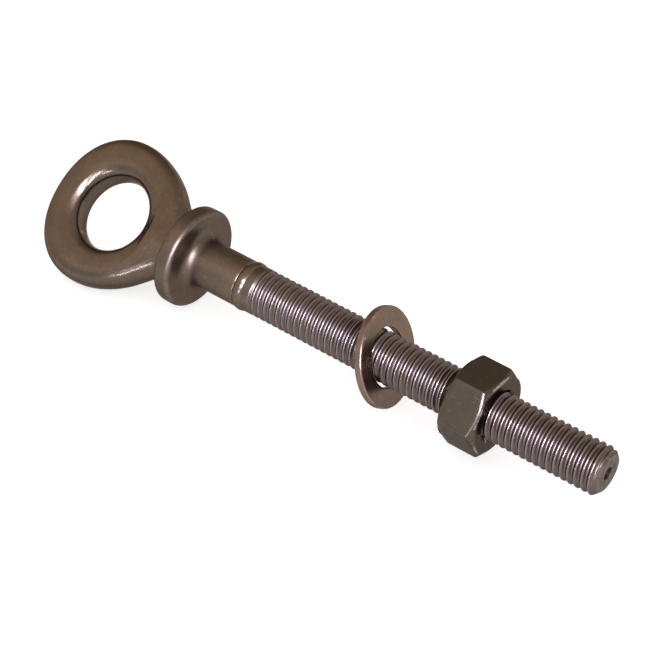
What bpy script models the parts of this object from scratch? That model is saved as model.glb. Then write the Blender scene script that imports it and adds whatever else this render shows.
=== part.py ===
"""Eye bolt: forged eye and collar, butt-welded to a length of M10 threaded rod, with washer and nut.

Metres, +Z up. The bolt lies on a flat surface at z = 0, resting on its collar and on the rim of its
eye. Its axis is horizontal, and +X points to the threaded end. The origin is the bottom centre of
the bounding box. Lengths along the bolt are measured from the collar's seat face, at x = 0 of the
bolt's own axis.
"""

import math

import bpy

MM = 0.001

# Driving dimensions of the M10 thread and the fasteners on it
THREAD_CREST_DIAMETER = 9.85 * MM
NUT_ACROSS_FLATS = 16.0 * MM
NUT_HEIGHT = 8.4 * MM
WASHER_DIAMETER = 20.0 * MM
WASHER_HOLE_DIAMETER = 11.8 * MM
WASHER_THICKNESS = 1.6 * MM

# Driving dimensions of the eye head
EYE_OUTER_DIAMETER = 32.0 * MM
EYE_HOLE_DIAMETER = 15.6 * MM
EYE_THICKNESS = 7.7 * MM
EYE_CENTRE_TO_SEAT = 22.3 * MM
EYE_TRIANGULARITY = 0.58 * MM
EYE_SQUARENESS = 2.8
COLLAR_DIAMETER = 21.0 * MM
COLLAR_THICKNESS = 3.8 * MM
COLLAR_EDGE_RADIUS = 0.9 * MM
SEAT_FILLET_RADIUS = 2.0 * MM
SHANK_DIAMETER = 10.0 * MM
SHANK_LENGTH = 12.3 * MM

# Weld and threaded rod
FIT_GAP = 0.3 * MM
WELD_WIDTH = 1.0 * MM
WELD_CROWN_WIDTH = 0.3 * MM
WELD_DIAMETER = 10.24 * MM
SEAT_TO_THREAD_END = 96.5 * MM
ROD_END_CHAMFER = 1.1 * MM
CENTRE_DRILL_DIAMETER = 2.6 * MM
CENTRE_DRILL_ANGLE = math.radians(60)

# Neck that carries the collar on the eye's bar
NECK_START = 10.8 * MM
NECK_HALF_WIDTH_AT_BAR = 6.0 * MM
NECK_HALF_WIDTH_AT_COLLAR = 8.4 * MM
NECK_FLATNESS = 0.66

# Where the loose pieces stand on the thread
WASHER_CENTRE = 46.3 * MM
WASHER_TILT = math.radians(22)
WASHER_SIDEWAYS = math.radians(30)
NUT_CENTRE = 68.2 * MM
NUT_TURN = math.radians(-9)
NUT_BORE_DIAMETER = 10.1 * MM
NUT_BORE_MOUTH_DIAMETER = 10.9 * MM
NUT_FACE_DIAMETER = 0.95 * NUT_ACROSS_FLATS
NUT_CHAMFER_ANGLE = math.radians(30)

# How far cutting shapes reach beyond the pieces that they cut
CUTTER_MARGIN = 1.0 * MM

# Fineness of the round shapes
RING_STEPS = 56
BAR_POINTS = 20
ROUND_STEPS = 48
ARC_POINTS = 5
NECK_STATIONS = 5
SHARP_ANGLE = math.radians(30)

EYE_FAR_RADIUS = EYE_OUTER_DIAMETER / 2 - EYE_TRIANGULARITY
AXIS_HEIGHT = COLLAR_DIAMETER / 2
SEAT_X = (EYE_CENTRE_TO_SEAT + EYE_FAR_RADIUS - SEAT_TO_THREAD_END) / 2

HEAD_STEEL = ("head_steel", (0.125, 0.095, 0.072), 0.36)
WELD_STEEL = ("weld_steel", (0.20, 0.13, 0.085), 0.34)
THREAD_STEEL = ("thread_steel", (0.110, 0.088, 0.078), 0.33)
WASHER_STEEL = ("washer_steel", (0.150, 0.120, 0.100), 0.38)
NUT_STEEL = ("nut_steel", (0.100, 0.082, 0.070), 0.36)


def clear_scene():
    """Remove whatever objects the scene holds."""
    for obj in list(bpy.data.objects):
        bpy.data.objects.remove(obj, do_unlink=True)


def steel(name, colour, roughness):
    """A bare steel surface of the given colour and roughness."""
    material = bpy.data.materials.new(name)
    material.use_nodes = True
    shader = material.node_tree.nodes["Principled BSDF"]
    shader.inputs["Base Color"].default_value = (*colour, 1.0)
    shader.inputs["Metallic"].default_value = 1.0
    shader.inputs["Roughness"].default_value = roughness
    return material


def arc(centre_r, centre_z, radius, start, end):
    """Profile points on an arc, from one angle to another, in degrees from the outward direction."""
    points = []
    for i in range(ARC_POINTS):
        angle = math.radians(start + (end - start) * i / (ARC_POINTS - 1))
        points.append((centre_r + radius * math.cos(angle), centre_z + radius * math.sin(angle)))
    return points


def turned(name, profile, collection, closed=False):
    """A profile of (radius, height) points turned about the object's own Z axis."""
    count = len(profile)
    edges = [(i, (i + 1) % count) for i in range(count if closed else count - 1)]
    mesh = bpy.data.meshes.new(name)
    mesh.from_pydata([(radius, 0.0, height) for radius, height in profile], edges, [])
    obj = bpy.data.objects.new(name, mesh)
    collection.objects.link(obj)
    screw = obj.modifiers.new("Turn", "SCREW")
    screw.axis = "Z"
    screw.steps = ROUND_STEPS
    screw.render_steps = ROUND_STEPS
    screw.use_merge_vertices = True
    screw.merge_threshold = 0.000001
    screw.use_smooth_shade = False
    return obj


def along_bolt(obj, axis, distance=0.0):
    """Set an object on the bolt's axis, its own Z pointing to the threaded end."""
    obj.parent = axis
    obj.location = (distance, 0.0, 0.0)
    obj.rotation_euler = (0.0, math.pi / 2, 0.0)


def make_guide(obj):
    """Keep a cutter or a joined shape out of the model itself."""
    obj.hide_render = True
    obj.display_type = "WIRE"


def combine(obj, other, operation):
    """Join or cut one object with another, which becomes a guide."""
    make_guide(other)
    boolean = obj.modifiers.new(operation.title(), "BOOLEAN")
    boolean.operation = operation
    boolean.object = other


def eye_section(turn):
    """Radius and height points of the eye's bar, at an angle round the ring from its far end.

    The section is squarer than an ellipse, so its faces are nearly flat. The hole is round, and the outside is drawn out a
    little on both sides of the far end and towards the collar.
    """
    outer = EYE_OUTER_DIAMETER / 2 - EYE_TRIANGULARITY * math.cos(3 * turn)
    inner = EYE_HOLE_DIAMETER / 2
    power = 2 / EYE_SQUARENESS
    points = []
    for i in range(BAR_POINTS):
        angle = math.pi / 2 - 2 * math.pi * i / BAR_POINTS
        across = math.copysign(abs(math.cos(angle)) ** power, math.cos(angle))
        height = math.copysign(abs(math.sin(angle)) ** power, math.sin(angle))
        radius = (outer + inner) / 2 + (outer - inner) / 2 * across
        points.append((radius, EYE_THICKNESS / 2 * height))
    return points


def eye_points():
    """The eye's points about its own centre, section after section round the ring."""
    points = []
    for i in range(RING_STEPS):
        turn = 2 * math.pi * i / RING_STEPS
        for radius, height in eye_section(turn):
            points.append((-radius * math.cos(turn), radius * math.sin(turn), height))
    return points


def lofted_eye(collection):
    """The eye's ring, lofted through its unlike sections."""
    faces = []
    for i in range(RING_STEPS):
        here = i * BAR_POINTS
        onward = (i + 1) % RING_STEPS * BAR_POINTS
        for j in range(BAR_POINTS):
            k = (j + 1) % BAR_POINTS
            faces.append((here + j, onward + j, onward + k, here + k))
    mesh = bpy.data.meshes.new("eye_shape")
    mesh.from_pydata(eye_points(), [], faces)
    obj = bpy.data.objects.new("eye_shape", mesh)
    collection.objects.link(obj)
    return obj


def eye_lean():
    """Angle the eye leans over by, about the bolt's axis, until its rim is level with the collar's."""
    points = eye_points()
    low, high = 0.0, math.pi / 2
    for _ in range(40):
        lean = (low + high) / 2
        drop = max(y * math.sin(lean) + z * math.cos(lean) for _, y, z in points)
        if drop < AXIS_HEIGHT:
            low = lean
        else:
            high = lean
    return low


def neck_profile():
    """The neck's wide outline, flaring from the eye's bar to the collar that it ends inside."""
    end = COLLAR_THICKNESS / 2
    flare = NECK_HALF_WIDTH_AT_COLLAR - NECK_HALF_WIDTH_AT_BAR
    points = [(0.0, -end)]
    for i in range(NECK_STATIONS):
        share = 1 - i / (NECK_STATIONS - 1)
        height = -NECK_START + (NECK_START - end) * share
        points.append((NECK_HALF_WIDTH_AT_BAR + flare * share ** 2, height))
    points.append((0.0, -NECK_START))
    return points


def make_eye_head(parts, guides, axis):
    """The forged head in one piece: eye, neck, collar with its seat face, and plain shank."""
    collar_radius = COLLAR_DIAMETER / 2
    shank_radius = SHANK_DIAMETER / 2
    edge = COLLAR_EDGE_RADIUS
    fillet = SEAT_FILLET_RADIUS
    profile = [(0.0, SHANK_LENGTH), (shank_radius, SHANK_LENGTH)]
    profile += arc(shank_radius + fillet, fillet, fillet, 180, 270)
    profile += arc(collar_radius - edge, -edge, edge, 90, 0)
    profile += arc(collar_radius - edge, edge - COLLAR_THICKNESS, edge, 0, -90)
    profile += [(0.0, -COLLAR_THICKNESS)]
    head = turned("eye_head", profile, parts)
    along_bolt(head, axis)

    lean = eye_lean()
    neck = turned("neck_shape", neck_profile(), guides)
    neck.parent = axis
    neck.rotation_mode = "ZYX"
    neck.rotation_euler = (lean, math.pi / 2, 0.0)
    neck.scale = (NECK_FLATNESS, 1.0, 1.0)

    eye = lofted_eye(guides)
    eye.parent = axis
    eye.location = (-EYE_CENTRE_TO_SEAT, 0.0, 0.0)
    eye.rotation_euler = (lean, 0.0, 0.0)

    combine(head, neck, "UNION")
    combine(head, eye, "UNION")
    return head


def make_weld_bead(parts, axis):
    """The raised ring of weld metal between the plain shank and the threaded rod."""
    start = SHANK_LENGTH + FIT_GAP
    shoulder = SHANK_DIAMETER / 2 - FIT_GAP
    crown = WELD_DIAMETER / 2
    low = (WELD_WIDTH - WELD_CROWN_WIDTH) / 2
    high = (WELD_WIDTH + WELD_CROWN_WIDTH) / 2
    profile = [(0.0, WELD_WIDTH), (shoulder, WELD_WIDTH), (crown, high), (crown, low)]
    profile += [(shoulder, 0.0), (0.0, 0.0)]
    bead = turned("weld_bead", profile, parts)
    along_bolt(bead, axis, start)
    return bead


def make_threaded_stud(parts, axis):
    """The threaded rod at its crest diameter, with a chamfered and centre-drilled end."""
    start = SHANK_LENGTH + 2 * FIT_GAP + WELD_WIDTH
    length = SEAT_TO_THREAD_END - start
    crest = THREAD_CREST_DIAMETER / 2
    drill = CENTRE_DRILL_DIAMETER / 2
    drill_depth = drill / math.tan(CENTRE_DRILL_ANGLE / 2)
    profile = [(0.0, length - drill_depth), (drill, length)]
    profile += [(crest - ROD_END_CHAMFER, length), (crest, length - ROD_END_CHAMFER)]
    profile += [(crest, 0.0), (0.0, 0.0)]
    stud = turned("threaded_stud", profile, parts)
    along_bolt(stud, axis, start)
    return stud


def make_flat_washer(parts, axis):
    """The flat washer, leaning on the thread with its top towards the eye and a little sideways."""
    outer = WASHER_DIAMETER / 2
    inner = WASHER_HOLE_DIAMETER / 2
    half = WASHER_THICKNESS / 2
    profile = [(outer, half), (outer, -half), (inner, -half), (inner, half)]
    washer = turned("flat_washer", profile, parts, closed=True)
    washer.parent = axis
    washer.location = (WASHER_CENTRE, 0.0, 0.0)
    washer.rotation_mode = "ZYX"
    washer.rotation_euler = (-WASHER_SIDEWAYS, math.pi / 2 - WASHER_TILT, 0.0)
    return washer


def make_hex_nut(parts, guides, axis):
    """The hexagon nut, its corners turned off at both ends, with a clearance bore."""
    half = NUT_HEIGHT / 2
    corner_radius = NUT_ACROSS_FLATS / math.sqrt(3)
    bpy.ops.mesh.primitive_cylinder_add(vertices=6, radius=corner_radius, depth=NUT_HEIGHT)
    nut = bpy.context.object
    nut.name = "hex_nut"
    nut.data.name = "hex_nut"
    for holder in list(nut.users_collection):
        holder.objects.unlink(nut)
    parts.objects.link(nut)
    nut.parent = axis
    nut.location = (NUT_CENTRE, 0.0, 0.0)
    nut.rotation_mode = "ZYX"
    nut.rotation_euler = (NUT_TURN, math.pi / 2, 0.0)

    face = NUT_FACE_DIAMETER / 2
    rim = corner_radius + CUTTER_MARGIN
    drop = (rim - face) * math.tan(NUT_CHAMFER_ANGLE)
    envelope = turned(
        "nut_corner_cone",
        [(0.0, half), (face, half), (rim, half - drop), (rim, drop - half), (face, -half), (0.0, -half)],
        guides,
    )
    bore = NUT_BORE_DIAMETER / 2
    mouth = NUT_BORE_MOUTH_DIAMETER / 2
    past = half + CUTTER_MARGIN
    bore_cutter = turned(
        "nut_bore_cutter",
        [(0.0, past), (mouth, past), (mouth, half), (bore, half - (mouth - bore)),
         (bore, mouth - bore - half), (mouth, -half), (mouth, -past), (0.0, -past)],
        guides,
    )
    for guide in (envelope, bore_cutter):
        along_bolt(guide, axis, NUT_CENTRE)
    combine(nut, envelope, "INTERSECT")
    combine(nut, bore_cutter, "DIFFERENCE")
    return nut


def shade_round(obj):
    """Shade an object's round faces smooth, keeping the edges between its flat ones sharp."""
    graph = bpy.context.evaluated_depsgraph_get()
    mesh = bpy.data.meshes.new_from_object(obj.evaluated_get(graph))
    mesh.name = obj.name
    mesh.shade_smooth()
    mesh.set_sharp_from_angle(angle=SHARP_ANGLE)
    obj.modifiers.clear()
    obj.data = mesh


def main():
    clear_scene()
    parts = bpy.data.collections.new("eye_bolt")
    guides = bpy.data.collections.new("guides")
    bpy.context.scene.collection.children.link(parts)
    bpy.context.scene.collection.children.link(guides)

    axis = bpy.data.objects.new("bolt_axis", None)
    axis.location = (SEAT_X, 0.0, AXIS_HEIGHT)
    guides.objects.link(axis)

    pieces = (
        (make_eye_head(parts, guides, axis), HEAD_STEEL),
        (make_weld_bead(parts, axis), WELD_STEEL),
        (make_threaded_stud(parts, axis), THREAD_STEEL),
        (make_flat_washer(parts, axis), WASHER_STEEL),
        (make_hex_nut(parts, guides, axis), NUT_STEEL),
    )
    for piece, finish in pieces:
        shade_round(piece)
        piece.data.materials.clear()
        piece.data.materials.append(steel(*finish))


main()
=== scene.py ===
"""Looks of the eye bolt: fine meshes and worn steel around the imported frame, lit as in a small studio.

The frame is in metres, with the bolt's axis along +X, from the eye to the threaded end. Shapes are
worked out in millimetres from the centre of the collar's seat face, and `to_world` places them.
"""

import math

import bmesh
import bpy
import numpy as np
from mathutils import Matrix, Vector, noise


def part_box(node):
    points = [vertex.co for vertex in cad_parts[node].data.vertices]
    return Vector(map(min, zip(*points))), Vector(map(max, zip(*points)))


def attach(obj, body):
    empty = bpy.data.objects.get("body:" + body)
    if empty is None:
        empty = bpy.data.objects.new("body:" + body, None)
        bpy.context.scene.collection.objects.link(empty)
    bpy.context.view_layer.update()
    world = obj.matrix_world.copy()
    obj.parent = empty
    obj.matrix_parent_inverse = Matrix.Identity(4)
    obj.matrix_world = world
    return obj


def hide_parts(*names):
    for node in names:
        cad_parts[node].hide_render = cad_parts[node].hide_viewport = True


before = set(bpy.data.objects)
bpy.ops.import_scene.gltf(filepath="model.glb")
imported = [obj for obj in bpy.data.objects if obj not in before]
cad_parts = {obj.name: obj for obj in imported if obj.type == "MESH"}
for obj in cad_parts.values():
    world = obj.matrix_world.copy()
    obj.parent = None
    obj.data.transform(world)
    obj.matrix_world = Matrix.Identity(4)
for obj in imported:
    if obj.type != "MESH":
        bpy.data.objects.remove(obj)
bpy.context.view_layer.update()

MM = 0.001
SEAM_DISTANCE = 2e-7

# The forged head, in millimetres
EYE_CENTRE_TO_SEAT = 22.3
EYE_OUTER_RADIUS = 16.0
EYE_HOLE_RADIUS = 7.8
EYE_TRIANGULARITY = 0.58
BAR_HALF_THICKNESS = 3.85
EYE_SQUARENESS = 2.8
COLLAR_RADIUS = 10.5
COLLAR_THICKNESS = 3.8
COLLAR_EDGE_RADIUS = 0.9
SHANK_RADIUS = 5.0
SHANK_LENGTH = 12.3
NECK_START = 10.8
NECK_HALF_WIDTH_AT_BAR = 6.0
NECK_HALF_WIDTH_AT_COLLAR = 8.4
NECK_FLATNESS = 0.66
SEAT_BLEND = 2.34
NECK_BLEND = 2.0
EYE_BLEND = 3.2
HEAD_VOXEL = 0.34
HEAD_SKIN = 0.025
SHANK_ROOT_DEPTH = 1.0
FIELD_STEP = 0.004
LONGEST_MOVE = 0.3
FLATTEST_SLOPE = 0.1
SKIN_ROUNDS = 8
SKIN_EASE = 0.6
SKIN_INSET = 0.015
SWELL_BROAD = 0.016
SWELL_FINE = 0.005

# The weld and the thread
PITCH = 1.5
CREST_RADIUS = 4.925
ROOT_RADIUS = 4.28
CREST_HALF_FLAT = 0.11
FLANK_SLOPE = math.sqrt(3)
CREST_ROUNDING = 0.30
ROOT_ROUNDING = 0.40
LAND_LENGTH = 1.9
RUN_OUT = 1.1
END_CHAMFER = 1.1
DRILL_RADIUS = 1.3
DRILL_DEPTH = 2.25
DRILL_TIP = 0.1
DRILL_TIP_RADIUS = 0.06
DRILL_LIP = 0.08
DRILL_LIP_DEPTH = 0.06
WELD_OVERLAP = 0.25
WELD_CROWN_RADIUS = 5.20
WELD_FOOT_RADIUS = CREST_RADIUS - 0.06
WELD_UNEVENNESS = 0.15
WELD_LOOPS = 17

# The nut and the washer
NUT_FLAT = 8.0
NUT_FACE_RADIUS = 7.6
NUT_CHAMFER_SLOPE = math.tan(math.radians(30))
NUT_CORNER_POWER = 90
NUT_EDGE_RADIUS = 0.5
NUT_FACE_MARGIN = 1.1
NUT_FLAT_MARGIN = 2.1
NUT_MINOR_RADIUS = 4.30
NUT_MAJOR_RADIUS = 5.02
NUT_MOUTH_RADIUS = 5.45
WASHER_EDGE_RADIUS = 0.42
WASHER_FACE_MARGIN = 1.2

THREAD_STEPS = 120
NUT_STEPS = 240
RING_STEPS = 192

# Rows of vertices along half a pitch, from a crest to the root, as shares of the pitch
STUD_STATIONS = (0.0, 0.05, 0.09, 0.13, 0.21, 0.30, 0.38, 0.43, 0.5)
NUT_STATIONS = (0.0, 0.05, 0.09, 0.13, 0.21, 0.29, 0.35, 0.42, 0.5)


# ---------------------------------------------------------------- the frame

stud_low, stud_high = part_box("threaded_stud")
head_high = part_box("eye_head")[1]
SEAT_CENTRE = np.array((
    head_high.x - SHANK_LENGTH * MM,
    (stud_low.y + stud_high.y) / 2,
    (stud_low.z + stud_high.z) / 2,
))


def to_world(points):
    """Points in millimetres from the seat's centre, as points of the frame in metres."""
    return np.asarray(points, float) * MM + SEAT_CENTRE


def from_world(points):
    """Points of the frame in metres, as millimetres from the seat's centre."""
    return (np.asarray(points, float) - SEAT_CENTRE) / MM


def node_points(node):
    """Corner points of a CAD node, in millimetres from the seat's centre."""
    return from_world([v.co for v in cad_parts[node].data.vertices])


def thin_axis(points):
    """Direction in which a flat shape's points spread least."""
    return np.linalg.eigh(np.cov((points - points.mean(0)).T))[1][:, 0]


head_points = node_points("eye_head")
eye_normal = thin_axis(head_points[head_points[:, 0] < -EYE_CENTRE_TO_SEAT])
EYE_LEAN = math.atan(-eye_normal[1] / eye_normal[2])
STUD_START = from_world(stud_low)[0]
STUD_END = from_world(stud_high)[0]


# ---------------------------------------------------------------- mesh tools

def finish_mesh(name, bm, sharp_degrees=35):
    """Turn a bmesh into an object with merged seams, outward faces and smooth shading."""
    bmesh.ops.remove_doubles(bm, verts=bm.verts, dist=SEAM_DISTANCE)
    bmesh.ops.recalc_face_normals(bm, faces=bm.faces)
    mesh = bpy.data.meshes.new(name)
    bm.to_mesh(mesh)
    bm.free()
    mesh.shade_smooth()
    mesh.set_sharp_from_angle(angle=math.radians(sharp_degrees))
    obj = bpy.data.objects.new(name, mesh)
    bpy.context.scene.collection.objects.link(obj)
    return obj


def ring(x, radius, steps, offset=0.0):
    """A loop of points about the bolt's axis. Its place and radius may vary with the angle."""
    angles = offset + 2 * math.pi * np.arange(steps) / steps
    x = np.broadcast_to(x, steps)
    radius = np.broadcast_to(radius, steps)
    return to_world(np.stack([x, radius * np.cos(angles), radius * np.sin(angles)], axis=1))


def add_ring(bm, points):
    """New vertices at the points, in their order."""
    return [bm.verts.new(point) for point in points]


def bridge(bm, low, high):
    """Faces between two rings of the same number of vertices."""
    count = len(low)
    for j in range(count):
        bm.faces.new((low[j], low[(j + 1) % count], high[(j + 1) % count], high[j]))


def add_rings(bm, loops, closed=False):
    """A skin through successive rings. Returns the first and last ring's vertices."""
    rows = [add_ring(bm, loop) for loop in loops]
    for low, high in zip(rows[:-1], rows[1:]):
        bridge(bm, low, high)
    if closed:
        bridge(bm, rows[-1], rows[0])
    return rows[0], rows[-1]


def add_cap(bm, loop, centre):
    """Close a ring with a fan to one point."""
    middle = bm.verts.new(centre)
    for j in range(len(loop)):
        bm.faces.new((loop[j], loop[(j + 1) % len(loop)], middle))


def rounded(corners, radius, closed, points=4):
    """An outline through (x, radius) corners, each turned into a small curve."""
    corners = [np.stack(np.broadcast_arrays(*corner), -1).astype(float) for corner in corners]
    count = len(corners)
    outline = []
    for i, corner in enumerate(corners):
        if not closed and i in (0, count - 1):
            outline.append(corner)
            continue
        back = corners[i - 1] - corner
        ahead = corners[(i + 1) % count] - corner
        back /= np.linalg.norm(back, axis=-1, keepdims=True)
        ahead /= np.linalg.norm(ahead, axis=-1, keepdims=True)
        for k in range(points):
            share = k / (points - 1)
            outline.append(corner + radius * (back * (1 - share) ** 2 + ahead * share ** 2))
    return outline


def blended(a, b, width):
    """The lesser of two values, with a smooth passage of about the given width between them."""
    reach = np.maximum(width - np.abs(a - b), 0.0)
    return np.minimum(a, b) - reach * reach / (4 * width)


def thread_depth(x, angle, deepest):
    """Depth of the right-hand thread below its crests, at a place along and around the axis."""
    phase = (x / PITCH - angle / (2 * math.pi)) % 1.0
    from_crest = np.minimum(phase, 1.0 - phase)
    flank = (from_crest - CREST_HALF_FLAT) * PITCH * FLANK_SLOPE
    return blended(-blended(-flank, 0.0, CREST_ROUNDING), deepest, ROOT_ROUNDING)


def pitch_shares(half):
    """Shares of a whole pitch, mirrored from those between a crest and the root beside it."""
    return half + tuple(round(1 - share, 2) for share in half[-2:0:-1])


def add_thread(bm, start, end, steps, stations, radius_at, offset=0.0):
    """A helical skin between two planes. Returns its end rings, in order around the axis."""
    angles = offset + 2 * math.pi * np.arange(steps) / steps
    shift = offset / (2 * math.pi)
    turns = range(math.floor(start / PITCH - shift) - 2, math.ceil(end / PITCH - shift) + 1)
    rows = np.array([PITCH * (turn + share) for turn in turns for share in stations])
    x = np.clip(rows[:, None] + PITCH * angles / (2 * math.pi), start, end)
    radius = radius_at(x, angles[None, :])
    points = to_world(np.stack([x, radius * np.cos(angles), radius * np.sin(angles)], axis=-1))
    verts = [add_ring(bm, row) for row in points]
    last = len(rows) - 1
    for i in range(last):
        for j in range(steps):
            after = (j + 1) % steps
            step = 0 if after else len(stations)
            near = verts[min(i + step, last)][after]
            far = verts[min(i + 1 + step, last)][after]
            bm.faces.new(list(dict.fromkeys((verts[i][j], near, far, verts[i + 1][j]))))
    return verts[0], verts[last]


# ---------------------------------------------------------------- eye head

def eye_field(x, across, normal):
    """Distance field of the eye: a bar of squarish section bent into a slightly three-lobed ring."""
    toward_end = -(x + EYE_CENTRE_TO_SEAT)
    outer = EYE_OUTER_RADIUS - EYE_TRIANGULARITY * np.cos(3 * np.arctan2(across, toward_end))
    half_width = (outer - EYE_HOLE_RADIUS) / 2
    sideways = (np.hypot(toward_end, across) - EYE_HOLE_RADIUS) / half_width - 1
    upward = normal / BAR_HALF_THICKNESS
    power = EYE_SQUARENESS
    size = (np.abs(sideways) ** power + np.abs(upward) ** power) ** (1 / power)
    return (size - 1) * half_width


def neck_field(x, across, normal):
    """Distance field of the flat neck, which widens from the eye's bar to the collar."""
    reach = NECK_START - COLLAR_THICKNESS / 2
    share = np.clip((x + NECK_START) / reach, 0, 1)
    flare = NECK_HALF_WIDTH_AT_COLLAR - NECK_HALF_WIDTH_AT_BAR
    width = NECK_HALF_WIDTH_AT_BAR + flare * share ** 2
    side = (np.hypot(across, normal / NECK_FLATNESS) - width) * NECK_FLATNESS
    return np.maximum(side, np.abs(x + NECK_START - reach / 2) - reach / 2)


def collar_field(x, radius):
    """Distance field of the round collar, with rounded edges."""
    edge = COLLAR_EDGE_RADIUS
    out = radius - (COLLAR_RADIUS - edge)
    along = np.abs(x + COLLAR_THICKNESS / 2) - (COLLAR_THICKNESS / 2 - edge)
    outside = np.hypot(np.maximum(out, 0), np.maximum(along, 0))
    return outside + np.minimum(np.maximum(out, along), 0) - edge


def head_field(points):
    """Distance field of the whole forging, negative inside, in millimetres."""
    x, y, z = points.T
    across = y * math.cos(EYE_LEAN) + z * math.sin(EYE_LEAN)
    normal = z * math.cos(EYE_LEAN) - y * math.sin(EYE_LEAN)
    radius = np.hypot(y, z)
    shank = np.maximum(radius - SHANK_RADIUS, np.maximum(x - SHANK_LENGTH, -SHANK_ROOT_DEPTH - x))
    body = blended(collar_field(x, radius), shank, SEAT_BLEND)
    body = blended(body, neck_field(x, across, normal), NECK_BLEND)
    return blended(body, eye_field(x, across, normal), EYE_BLEND) + HEAD_SKIN


def field_slope(points):
    """Gradient of the head's distance field at each point."""
    slope = np.empty_like(points)
    for axis in range(3):
        offset = np.zeros(3)
        offset[axis] = FIELD_STEP
        rise = head_field(points + offset) - head_field(points - offset)
        slope[:, axis] = rise / (2 * FIELD_STEP)
    return slope


def onto_head(points, rounds):
    """Move points onto the head's surface, along the field's slope."""
    for _ in range(rounds):
        slope = field_slope(points)
        steep = np.maximum((slope ** 2).sum(1), FLATTEST_SLOPE)
        move = np.clip(head_field(points) / steep, -LONGEST_MOVE, LONGEST_MOVE)
        points = points - slope * move[:, None]
    return points


def forged_swell(points):
    """The slight unevenness of a forged and tumbled skin, in millimetres."""
    spots = [Vector(point) for point in points]
    broad = np.array([noise.noise(spot * 0.45) for spot in spots])
    fine = np.array([noise.noise(spot * 1.6) for spot in spots])
    return SWELL_BROAD * broad + SWELL_FINE * fine


def make_eye_head():
    """The forging's fine skin: a remeshed copy of the CAD head, pressed onto its smooth field."""
    head = bpy.data.objects.new("eye_forging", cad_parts["eye_head"].data.copy())
    bpy.context.scene.collection.objects.link(head)
    remesh = head.modifiers.new("Even skin", "REMESH")
    remesh.mode = "VOXEL"
    remesh.voxel_size = HEAD_VOXEL * MM
    graph = bpy.context.evaluated_depsgraph_get()
    mesh = bpy.data.meshes.new_from_object(head.evaluated_get(graph))
    head.modifiers.clear()
    head.data = mesh

    count = len(mesh.vertices)
    points = np.empty(count * 3)
    mesh.vertices.foreach_get("co", points)
    points = onto_head(from_world(points.reshape(-1, 3)), 4)
    edges = np.empty(len(mesh.edges) * 2, np.int32)
    mesh.edges.foreach_get("vertices", edges)
    first, second = edges.reshape(-1, 2).T
    neighbours = np.bincount(edges, minlength=count)
    for _ in range(SKIN_ROUNDS):
        total = np.empty_like(points)
        for axis in range(3):
            total[:, axis] = np.bincount(first, points[second, axis], count)
            total[:, axis] += np.bincount(second, points[first, axis], count)
        points = onto_head(points + SKIN_EASE * (total / neighbours[:, None] - points), 2)
    normals = field_slope(points)
    normals /= np.linalg.norm(normals, axis=1)[:, None]
    points = points + normals * (forged_swell(points) - SKIN_INSET)[:, None]
    mesh.vertices.foreach_set("co", to_world(points).ravel())
    mesh.materials.clear()
    mesh.shade_smooth()
    mesh.set_sharp_from_angle(angle=math.radians(50))
    mesh.update()
    return head


# ---------------------------------------------------------------- weld and thread

def make_weld_ring():
    """The raised weld ring, a little uneven around the shank, its edges sunk in the metal beside it."""
    angles = 2 * math.pi * np.arange(RING_STEPS) / RING_STEPS
    uneven = np.array([noise.noise(Vector((3 * math.cos(a), 3 * math.sin(a), 0.4))) for a in angles])
    start = SHANK_LENGTH - WELD_OVERLAP
    end = STUD_START + WELD_OVERLAP
    loops = []
    for share in np.linspace(0, 1, WELD_LOOPS):
        rise = (WELD_CROWN_RADIUS - WELD_FOOT_RADIUS) * math.sin(math.pi * share) ** 0.8
        radius = WELD_FOOT_RADIUS + rise * (1 + WELD_UNEVENNESS * uneven)
        loops.append(ring(start + (end - start) * share, radius, RING_STEPS))
    bm = bmesh.new()
    first, last = add_rings(bm, loops)
    add_cap(bm, first, to_world((start, 0, 0)))
    add_cap(bm, last, to_world((end, 0, 0)))
    return finish_mesh("weld_ring", bm)


def stud_radius(x, angle):
    """Radius of the threaded rod: smooth land, run-in, rolled thread and end chamfer."""
    share = np.clip((x - STUD_START - LAND_LENGTH) / RUN_OUT, 0, 1)
    depth = thread_depth(x, angle, CREST_RADIUS - ROOT_RADIUS) * share * share * (3 - 2 * share)
    return np.minimum(CREST_RADIUS - depth, CREST_RADIUS + STUD_END - END_CHAMFER - x)


def make_stud():
    """The threaded rod, its far end chamfered and centre-drilled."""
    bm = bmesh.new()
    stations = pitch_shares(STUD_STATIONS)
    first, last = add_thread(bm, STUD_START, STUD_END, THREAD_STEPS, stations, stud_radius)
    add_cap(bm, first, to_world((STUD_START, 0, 0)))
    hole = [(STUD_END, DRILL_RADIUS + DRILL_LIP), (STUD_END - DRILL_LIP_DEPTH, DRILL_RADIUS)]
    hole.append((STUD_END - DRILL_DEPTH + DRILL_TIP, DRILL_TIP_RADIUS))
    mouth, tip = add_rings(bm, [ring(x, radius, THREAD_STEPS) for x, radius in hole])
    bridge(bm, last, mouth)
    add_cap(bm, tip, to_world((STUD_END - DRILL_DEPTH, 0, 0)))
    return finish_mesh("rolled_thread", bm)


# ---------------------------------------------------------------- washer and nut

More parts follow.
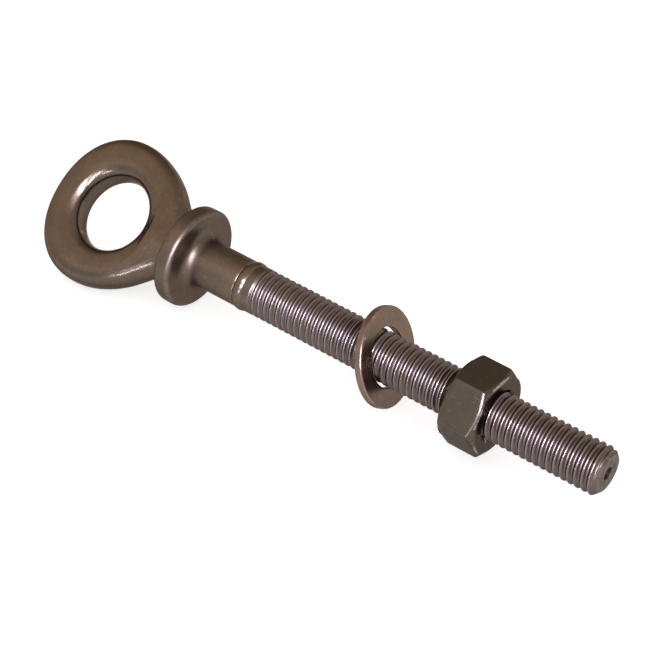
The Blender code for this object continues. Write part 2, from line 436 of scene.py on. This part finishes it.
def make_washer():
    """The stamped washer with its soft edges, leaning where the CAD washer leans."""
    points = node_points("flat_washer")
    centre = (points.min(0) + points.max(0)) / 2
    axis = thin_axis(points)
    axis = axis * math.copysign(1, axis[0])
    height = (points - centre) @ axis
    radial = np.linalg.norm(points - centre - height[:, None] * axis, axis=1)
    half, outer, inner = height.max(), radial.max(), radial.min()
    # Points along the flat faces keep the wear of their edges near the edges
    inward, outward = outer - WASHER_FACE_MARGIN, inner + WASHER_FACE_MARGIN
    corners = [(half, outer), (-half, outer), (-half, inward), (-half, outward)]
    corners += [(-half, inner), (half, inner), (half, outward), (half, inward)]
    turn = np.array(Vector((1, 0, 0)).rotation_difference(Vector(axis)).to_matrix())
    loops = []
    for x, radius in rounded(corners, WASHER_EDGE_RADIUS, closed=True, points=6):
        upright = from_world(ring(x, radius, RING_STEPS))
        loops.append(to_world(upright @ turn.T + centre))
    bm = bmesh.new()
    add_rings(bm, loops, closed=True)
    return finish_mesh("stamped_washer", bm, sharp_degrees=60)


def make_nut():
    """The hexagon nut: softened corners, chamfered at both ends, with its own internal thread."""
    low, high = (from_world(corner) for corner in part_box("hex_nut"))
    centre = (low[0] + high[0]) / 2
    half = (high[0] - low[0]) / 2
    points = node_points("hex_nut")
    farthest = points[np.hypot(points[:, 1], points[:, 2]).argmax()]
    turn = math.atan2(farthest[2], farthest[1])

    angles = turn + 2 * math.pi * np.arange(NUT_STEPS) / NUT_STEPS
    flats = turn + math.pi / 6 + math.pi / 3 * np.arange(6)
    nearness = np.maximum(np.cos(angles[:, None] - flats), 0) ** NUT_CORNER_POWER
    hexagon = NUT_FLAT / nearness.sum(1) ** (1 / NUT_CORNER_POWER)
    drop = (hexagon - NUT_FACE_RADIUS) * NUT_CHAMFER_SLOPE
    everywhere = np.ones(NUT_STEPS)
    flat_end = (half - NUT_FLAT_MARGIN) * everywhere
    corners = [
        (half * everywhere, NUT_MOUTH_RADIUS),
        (half * everywhere, NUT_FACE_RADIUS - NUT_FACE_MARGIN),
        (half * everywhere, NUT_FACE_RADIUS),
        (half - drop, hexagon),
        (flat_end, hexagon),
        (-flat_end, hexagon),
        (drop - half, hexagon),
        (-half * everywhere, NUT_FACE_RADIUS),
        (-half * everywhere, NUT_FACE_RADIUS - NUT_FACE_MARGIN),
        (-half * everywhere, NUT_MOUTH_RADIUS),
    ]
    profile = rounded(corners, NUT_EDGE_RADIUS, closed=False)

    def radius_at(x, angle):
        """Radius of the bore: the internal thread, widened to a chamfer at both mouths."""
        deepest = NUT_MAJOR_RADIUS - NUT_MINOR_RADIUS
        bore = NUT_MAJOR_RADIUS - thread_depth(x, angle, deepest)
        inset = half - np.abs(x - centre)
        return np.maximum(bore, NUT_MOUTH_RADIUS - inset)

    stations = pitch_shares(NUT_STATIONS)
    bm = bmesh.new()
    add_rings(bm, [ring(centre + point[:, 0], point[:, 1], NUT_STEPS, turn) for point in profile])
    add_thread(bm, centre - half, centre + half, NUT_STEPS, stations, radius_at, turn)
    return finish_mesh("hexagon_nut", bm)


# ---------------------------------------------------------------- materials

def add_node(tree, kind, inputs=None, **settings):
    """Add a shader node, with its settings and with values or links for its inputs."""
    made = tree.nodes.new(kind)
    for name, value in settings.items():
        setattr(made, name, value)
    for name, value in (inputs or {}).items():
        if isinstance(value, bpy.types.NodeSocket):
            tree.links.new(value, made.inputs[name])
        else:
            made.inputs[name].default_value = value
    return made


def noise_value(tree, place, scale, detail=4.0, roughness=0.55, stretch=None):
    """Smooth random value at a given number of features per metre."""
    if stretch:
        place = add_node(tree, "ShaderNodeMapping", {"Vector": place, "Scale": stretch}).outputs[0]
    inputs = {"Vector": place, "Scale": scale, "Detail": detail, "Roughness": roughness}
    return add_node(tree, "ShaderNodeTexNoise", inputs).outputs[0]


def mapped(tree, value, low, high, out_low=0.0, out_high=1.0):
    """Carry a value from one range to another, clamped, with a soft start and end."""
    inputs = {0: value, 1: low, 2: high, 3: out_low, 4: out_high}
    return add_node(tree, "ShaderNodeMapRange", inputs, interpolation_type="SMOOTHSTEP").outputs[0]


def maths(tree, operation, a, b):
    """One arithmetic step on two values."""
    return add_node(tree, "ShaderNodeMath", {0: a, 1: b}, operation=operation).outputs[0]


def mixed(tree, share, a, b):
    """Mix two colours, from all of the first at 0 to all of the second at 1."""
    made = add_node(tree, "ShaderNodeMix", data_type="RGBA", blend_type="MIX")
    for name, value in (("Factor_Float", share), ("A_Color", a), ("B_Color", b)):
        socket = next(s for s in made.inputs if s.identifier == name)
        if isinstance(value, bpy.types.NodeSocket):
            tree.links.new(value, socket)
        else:
            socket.default_value = value
    return next(s for s in made.outputs if s.identifier == "Result_Color")


def colour(red, green, blue):
    """An opaque colour."""
    return (red, green, blue, 1.0)


def from_axis(tree, place):
    """Distance from the bolt's axis, and place along it, in millimetres."""
    centre = tuple(float(value) for value in SEAT_CENTRE)
    centred = add_node(tree, "ShaderNodeVectorMath", {0: place, 1: centre}, operation="SUBTRACT")
    parts = add_node(tree, "ShaderNodeSeparateXYZ", {0: centred.outputs[0]})
    along = maths(tree, "MULTIPLY", parts.outputs[0], 1 / MM)
    square = maths(tree, "MULTIPLY", parts.outputs[1], parts.outputs[1])
    other = maths(tree, "MULTIPLY", parts.outputs[2], parts.outputs[2])
    radius = maths(tree, "POWER", maths(tree, "ADD", square, other), 0.5)
    return maths(tree, "MULTIPLY", radius, 1 / MM), along


SPECK_COLOUR = colour(0.035, 0.022, 0.014)
MOTTLE_DARKENING = 0.62
SPECULAR_TINT = colour(0.45, 0.43, 0.42)
BUMP_DISTANCE = 0.00006


def steel(name, base, tint, wear, roughness, grain=1.0, stretch=(1, 1, 1), special=None):
    """Worn bare steel: cloudy tint, fine scratches, dark specks and brighter edges."""
    material = bpy.data.materials.new(name)
    material.use_nodes = True
    tree = material.node_tree
    shader = tree.nodes["Principled BSDF"]
    place = add_node(tree, "ShaderNodeTexCoord").outputs["Object"]
    geometry = add_node(tree, "ShaderNodeNewGeometry")

    clouds = mapped(tree, noise_value(tree, place, 160, 5), 0.36, 0.66)
    mottle = mapped(tree, noise_value(tree, place, 1100, 5, 0.65), 0.40, 0.70)
    scratches = noise_value(tree, place, 900, 3, 0.6, stretch)
    lines = mapped(tree, scratches, 0.60, 0.72)
    specks = mapped(tree, noise_value(tree, place, 2600, 2, 0.5), 0.70, 0.78)
    edge = mapped(tree, geometry.outputs["Pointiness"], 0.505, 0.56)
    ragged = maths(tree, "MULTIPLY", edge, mapped(tree, noise_value(tree, place, 700, 4), 0.30, 0.62))

    surface = mixed(tree, clouds, colour(*base), colour(*tint))
    dark = colour(*[c * MOTTLE_DARKENING for c in base])
    surface = mixed(tree, maths(tree, "MULTIPLY", mottle, 0.35), surface, dark)
    surface = mixed(tree, maths(tree, "MULTIPLY", lines, 0.30), surface, colour(*wear))
    surface = mixed(tree, ragged, surface, colour(*wear))
    surface = mixed(tree, maths(tree, "MULTIPLY", specks, 0.35), surface, SPECK_COLOUR)
    rough = mapped(tree, clouds, 0, 1, roughness, roughness * 1.25)
    rough = maths(tree, "ADD", rough, maths(tree, "MULTIPLY", mottle, 0.06))
    rough = maths(tree, "SUBTRACT", rough, maths(tree, "MULTIPLY", ragged, 0.05))
    if special:
        surface, rough = special(tree, place, surface, rough)

    tree.links.new(surface, shader.inputs["Base Color"])
    tree.links.new(rough, shader.inputs["Roughness"])
    shader.inputs["Metallic"].default_value = 1.0
    shader.inputs["Specular Tint"].default_value = SPECULAR_TINT
    relief = noise_value(tree, place, 1500, 6, 0.6)
    relief = maths(tree, "ADD", relief, maths(tree, "MULTIPLY", scratches, 0.8))
    relief = maths(tree, "SUBTRACT", relief, maths(tree, "MULTIPLY", specks, 0.5))
    inputs = {"Height": relief, "Strength": 0.12 * grain, "Distance": BUMP_DISTANCE}
    bump = add_node(tree, "ShaderNodeBump", inputs)
    tree.links.new(bump.outputs[0], shader.inputs["Normal"])
    return material


def turned_and_tinted(tree, place, surface, rough):
    """A rougher, turned collar and shank, and straw oxide colours fading away from the weld."""
    along = from_axis(tree, place)[1]
    turned = mapped(tree, along, -COLLAR_THICKNESS - 1, -COLLAR_THICKNESS + 1.5)
    rough = maths(tree, "ADD", rough, maths(tree, "MULTIPLY", turned, 0.15))
    uneven = maths(tree, "MULTIPLY", noise_value(tree, place, 500, 3), 1.6)
    near = mapped(tree, maths(tree, "ADD", along, uneven), SHANK_LENGTH - 3.2, SHANK_LENGTH + 0.9)
    surface = mixed(tree, maths(tree, "MULTIPLY", near, 0.25), surface, colour(0.20, 0.12, 0.07))
    return surface, rough


def thread_wear_and_shade(tree, place, surface, rough):
    """Rubbed crests, painted shade in the roots and in the drilled centre, and a plain land by the weld.
    """
    radius, along = from_axis(tree, place)
    # Painted shade: the colour darkens towards the thread's roots, where shade falls; the roots are also
    # made rougher.
    deep = mapped(tree, radius, ROOT_RADIUS, CREST_RADIUS - 0.15, 1.0, 0.0)
    crest = mapped(tree, radius, CREST_RADIUS - 0.12, CREST_RADIUS - 0.01)
    surface = mixed(tree, maths(tree, "MULTIPLY", deep, 0.15), surface, colour(0.09, 0.07, 0.06))
    surface = mixed(tree, maths(tree, "MULTIPLY", crest, 0.4), surface, colour(0.23, 0.20, 0.195))
    land = mapped(tree, along, STUD_START + LAND_LENGTH - 0.4, STUD_START + LAND_LENGTH + 1.2, 1.0, 0.0)
    surface = mixed(tree, maths(tree, "MULTIPLY", land, 0.8), surface, colour(*HEAD_STEEL["base"]))
    # Painted shade: the centre hole is painted almost black, as shade that falls inside it.
    drilled = mapped(tree, radius, DRILL_RADIUS - 0.1, DRILL_RADIUS + 0.15, 1.0, 0.0)
    surface = mixed(tree, maths(tree, "MULTIPLY", drilled, 0.9), surface, colour(0.012, 0.009, 0.008))
    rough = maths(tree, "ADD", rough, maths(tree, "MULTIPLY", deep, 0.10))
    return surface, rough


HEAD_STEEL = dict(base=(0.110, 0.082, 0.064), tint=(0.122, 0.090, 0.069), wear=(0.20, 0.17, 0.15),
                  roughness=0.19, grain=0.8, special=turned_and_tinted)
WELD_STEEL = dict(base=(0.14, 0.10, 0.075), tint=(0.13, 0.105, 0.09), wear=(0.26, 0.21, 0.17),
                  roughness=0.20)
THREAD_STEEL = dict(base=(0.138, 0.101, 0.090), tint=(0.127, 0.098, 0.096), wear=(0.24, 0.21, 0.205),
                    roughness=0.24, grain=0.7, stretch=(6, 1, 1), special=thread_wear_and_shade)
WASHER_STEEL = dict(base=(0.185, 0.125, 0.095), tint=(0.16, 0.115, 0.09), wear=(0.30, 0.26, 0.23),
                    roughness=0.26, stretch=(1, 1, 5))
NUT_STEEL = dict(base=(0.105, 0.082, 0.066), tint=(0.092, 0.076, 0.063), wear=(0.33, 0.30, 0.275),
                 roughness=0.20, stretch=(1, 4, 4))

PIECES = (
    (make_eye_head, "eye_head", "bolt", "head_steel", HEAD_STEEL),
    (make_weld_ring, "weld_bead", "bolt", "weld_steel", WELD_STEEL),
    (make_stud, "threaded_stud", "bolt", "thread_steel", THREAD_STEEL),
    (make_washer, "flat_washer", "washer", "washer_steel", WASHER_STEEL),
    (make_nut, "hex_nut", "nut", "nut_steel", NUT_STEEL),
)

for make, node, body, slot, finish in PIECES:
    piece = make()
    piece.data.materials.append(steel("worn_" + slot, **finish))
    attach(piece, body)
    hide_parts(node)


# ---------------------------------------------------------------- studio

CAMERA_TARGET = Vector(to_world((31.151, 0.663, -0.792)))
CAMERA_AZIMUTH = 39.829
CAMERA_ELEVATION = 45.444
CAMERA_ROLL = 3.04
CAMERA_DISTANCE = 0.417045
CAMERA_LENS = 118.247
NEAREST_SEEN = 0.01
FARTHEST_SEEN = 20.0
FLOOR_SIZE = 12.0
FLOOR_DROP = 0.00003
FLOOR_GLOW = 0.66
SOFTBOX_DISTANCE = 1.3
KEY_TINT = (0.90, 0.95, 1.22)
ROOM_COLOUR = (1.16, 0.98, 0.78)
ROOM_PATCHES = (
    (-150, 25, 15, 55, (0.48, 0.40, 0.32)),
    (110, 30, 30, 75, (0.90, 0.80, 0.68)),
    (-8, 5, 15, 45, (0.96, 0.97, 0.95)),
    (-38, 43, 6, 16, (1.50, 1.38, 1.25)),
    (60, 50, 8, 24, (3.0, 2.9, 2.75)),
)


def direction(azimuth, elevation):
    """Unit vector from the object to a place seen at these angles, in degrees."""
    a, e = math.radians(azimuth), math.radians(elevation)
    return Vector((math.sin(a) * math.cos(e), -math.cos(a) * math.cos(e), math.sin(e)))


def make_camera():
    """The photo's viewpoint, aimed at the middle of the bolt and rolled a little."""
    back = direction(CAMERA_AZIMUTH, CAMERA_ELEVATION)
    right = Vector((0, 0, 1)).cross(back).normalized()
    right.rotate(Matrix.Rotation(math.radians(CAMERA_ROLL), 3, -back))
    turn = Matrix((right, back.cross(right), back)).transposed()
    data = bpy.data.cameras.new("camera")
    data.lens = CAMERA_LENS
    data.clip_start = NEAREST_SEEN
    data.clip_end = FARTHEST_SEEN
    camera = bpy.data.objects.new("camera", data)
    camera.matrix_world = Matrix.Translation(CAMERA_TARGET + back * CAMERA_DISTANCE) @ turn.to_4x4()
    bpy.context.scene.collection.objects.link(camera)
    bpy.context.scene.camera = camera


def make_softbox(name, start, end, breadth, radiance):
    """A strip light facing the object, between two directions as seen from it, at a fixed distance."""
    start, end = direction(*start), direction(*end)
    toward = (start + end).normalized()
    along = (end - start).normalized()
    turn = Matrix((along, toward.cross(along), toward)).transposed()
    data = bpy.data.lights.new(name, "AREA")
    data.shape = "RECTANGLE"
    data.size = (end - start).length * SOFTBOX_DISTANCE
    data.size_y = breadth
    data.energy = radiance * math.pi * data.size * data.size_y
    light = bpy.data.objects.new(name, data)
    light.matrix_world = Matrix.Translation(toward * SOFTBOX_DISTANCE) @ turn.to_4x4()
    data.color = KEY_TINT
    light.visible_camera = False
    light.visible_diffuse = False
    bpy.context.scene.collection.objects.link(light)


def make_floor():
    """A large plain floor, white and faintly lit from below like a light table."""
    bm = bmesh.new()
    bmesh.ops.create_grid(bm, x_segments=1, y_segments=1, size=FLOOR_SIZE / 2)
    mesh = bpy.data.meshes.new("floor")
    bm.to_mesh(mesh)
    bm.free()
    floor = bpy.data.objects.new("floor", mesh)
    floor.location.z = -FLOOR_DROP
    bpy.context.scene.collection.objects.link(floor)
    material = bpy.data.materials.new("white_floor")
    material.use_nodes = True
    shader = material.node_tree.nodes["Principled BSDF"]
    shader.inputs["Base Color"].default_value = colour(0.88, 0.88, 0.88)
    shader.inputs["Roughness"].default_value = 0.9
    shader.inputs["Specular IOR Level"].default_value = 0.0
    shader.inputs["Emission Color"].default_value = colour(1, 1, 1)
    shader.inputs["Emission Strength"].default_value = FLOOR_GLOW
    mesh.materials.append(material)


def make_surroundings():
    """White around the set, and a dim warm room in the steel's reflections."""
    world = bpy.data.worlds.new("studio")
    bpy.context.scene.world = world
    world.use_nodes = True
    tree = world.node_tree
    background = tree.nodes["Background"]
    place = add_node(tree, "ShaderNodeTexCoord").outputs["Generated"]
    room = colour(*ROOM_COLOUR)
    for azimuth, elevation, inner, outer, tone in ROOM_PATCHES:
        axis = tuple(direction(azimuth, elevation))
        towards = add_node(tree, "ShaderNodeVectorMath", {0: place, 1: axis}, operation="DOT_PRODUCT")
        edges = (math.cos(math.radians(angle)) for angle in (outer, inner))
        room = mixed(tree, mapped(tree, towards.outputs["Value"], *edges), room, colour(*tone))
    path = add_node(tree, "ShaderNodeLightPath")
    seen = mixed(tree, path.outputs["Is Glossy Ray"], colour(0.72, 0.72, 0.72), room)
    tree.links.new(seen, background.inputs["Color"])
    world.cycles.sampling_method = "NONE"


make_camera()
make_floor()
make_surroundings()
make_softbox("key_softbox", (0, 55), (67, 30), 0.25, 33.0)
make_softbox("wall_softbox", (2, 33), (50, 24), 0.08, 62.0)
make_softbox("low_softbox", (2, 12), (14, 10), 0.05, 60.0)
bpy.context.scene.view_settings.view_transform = "Standard"
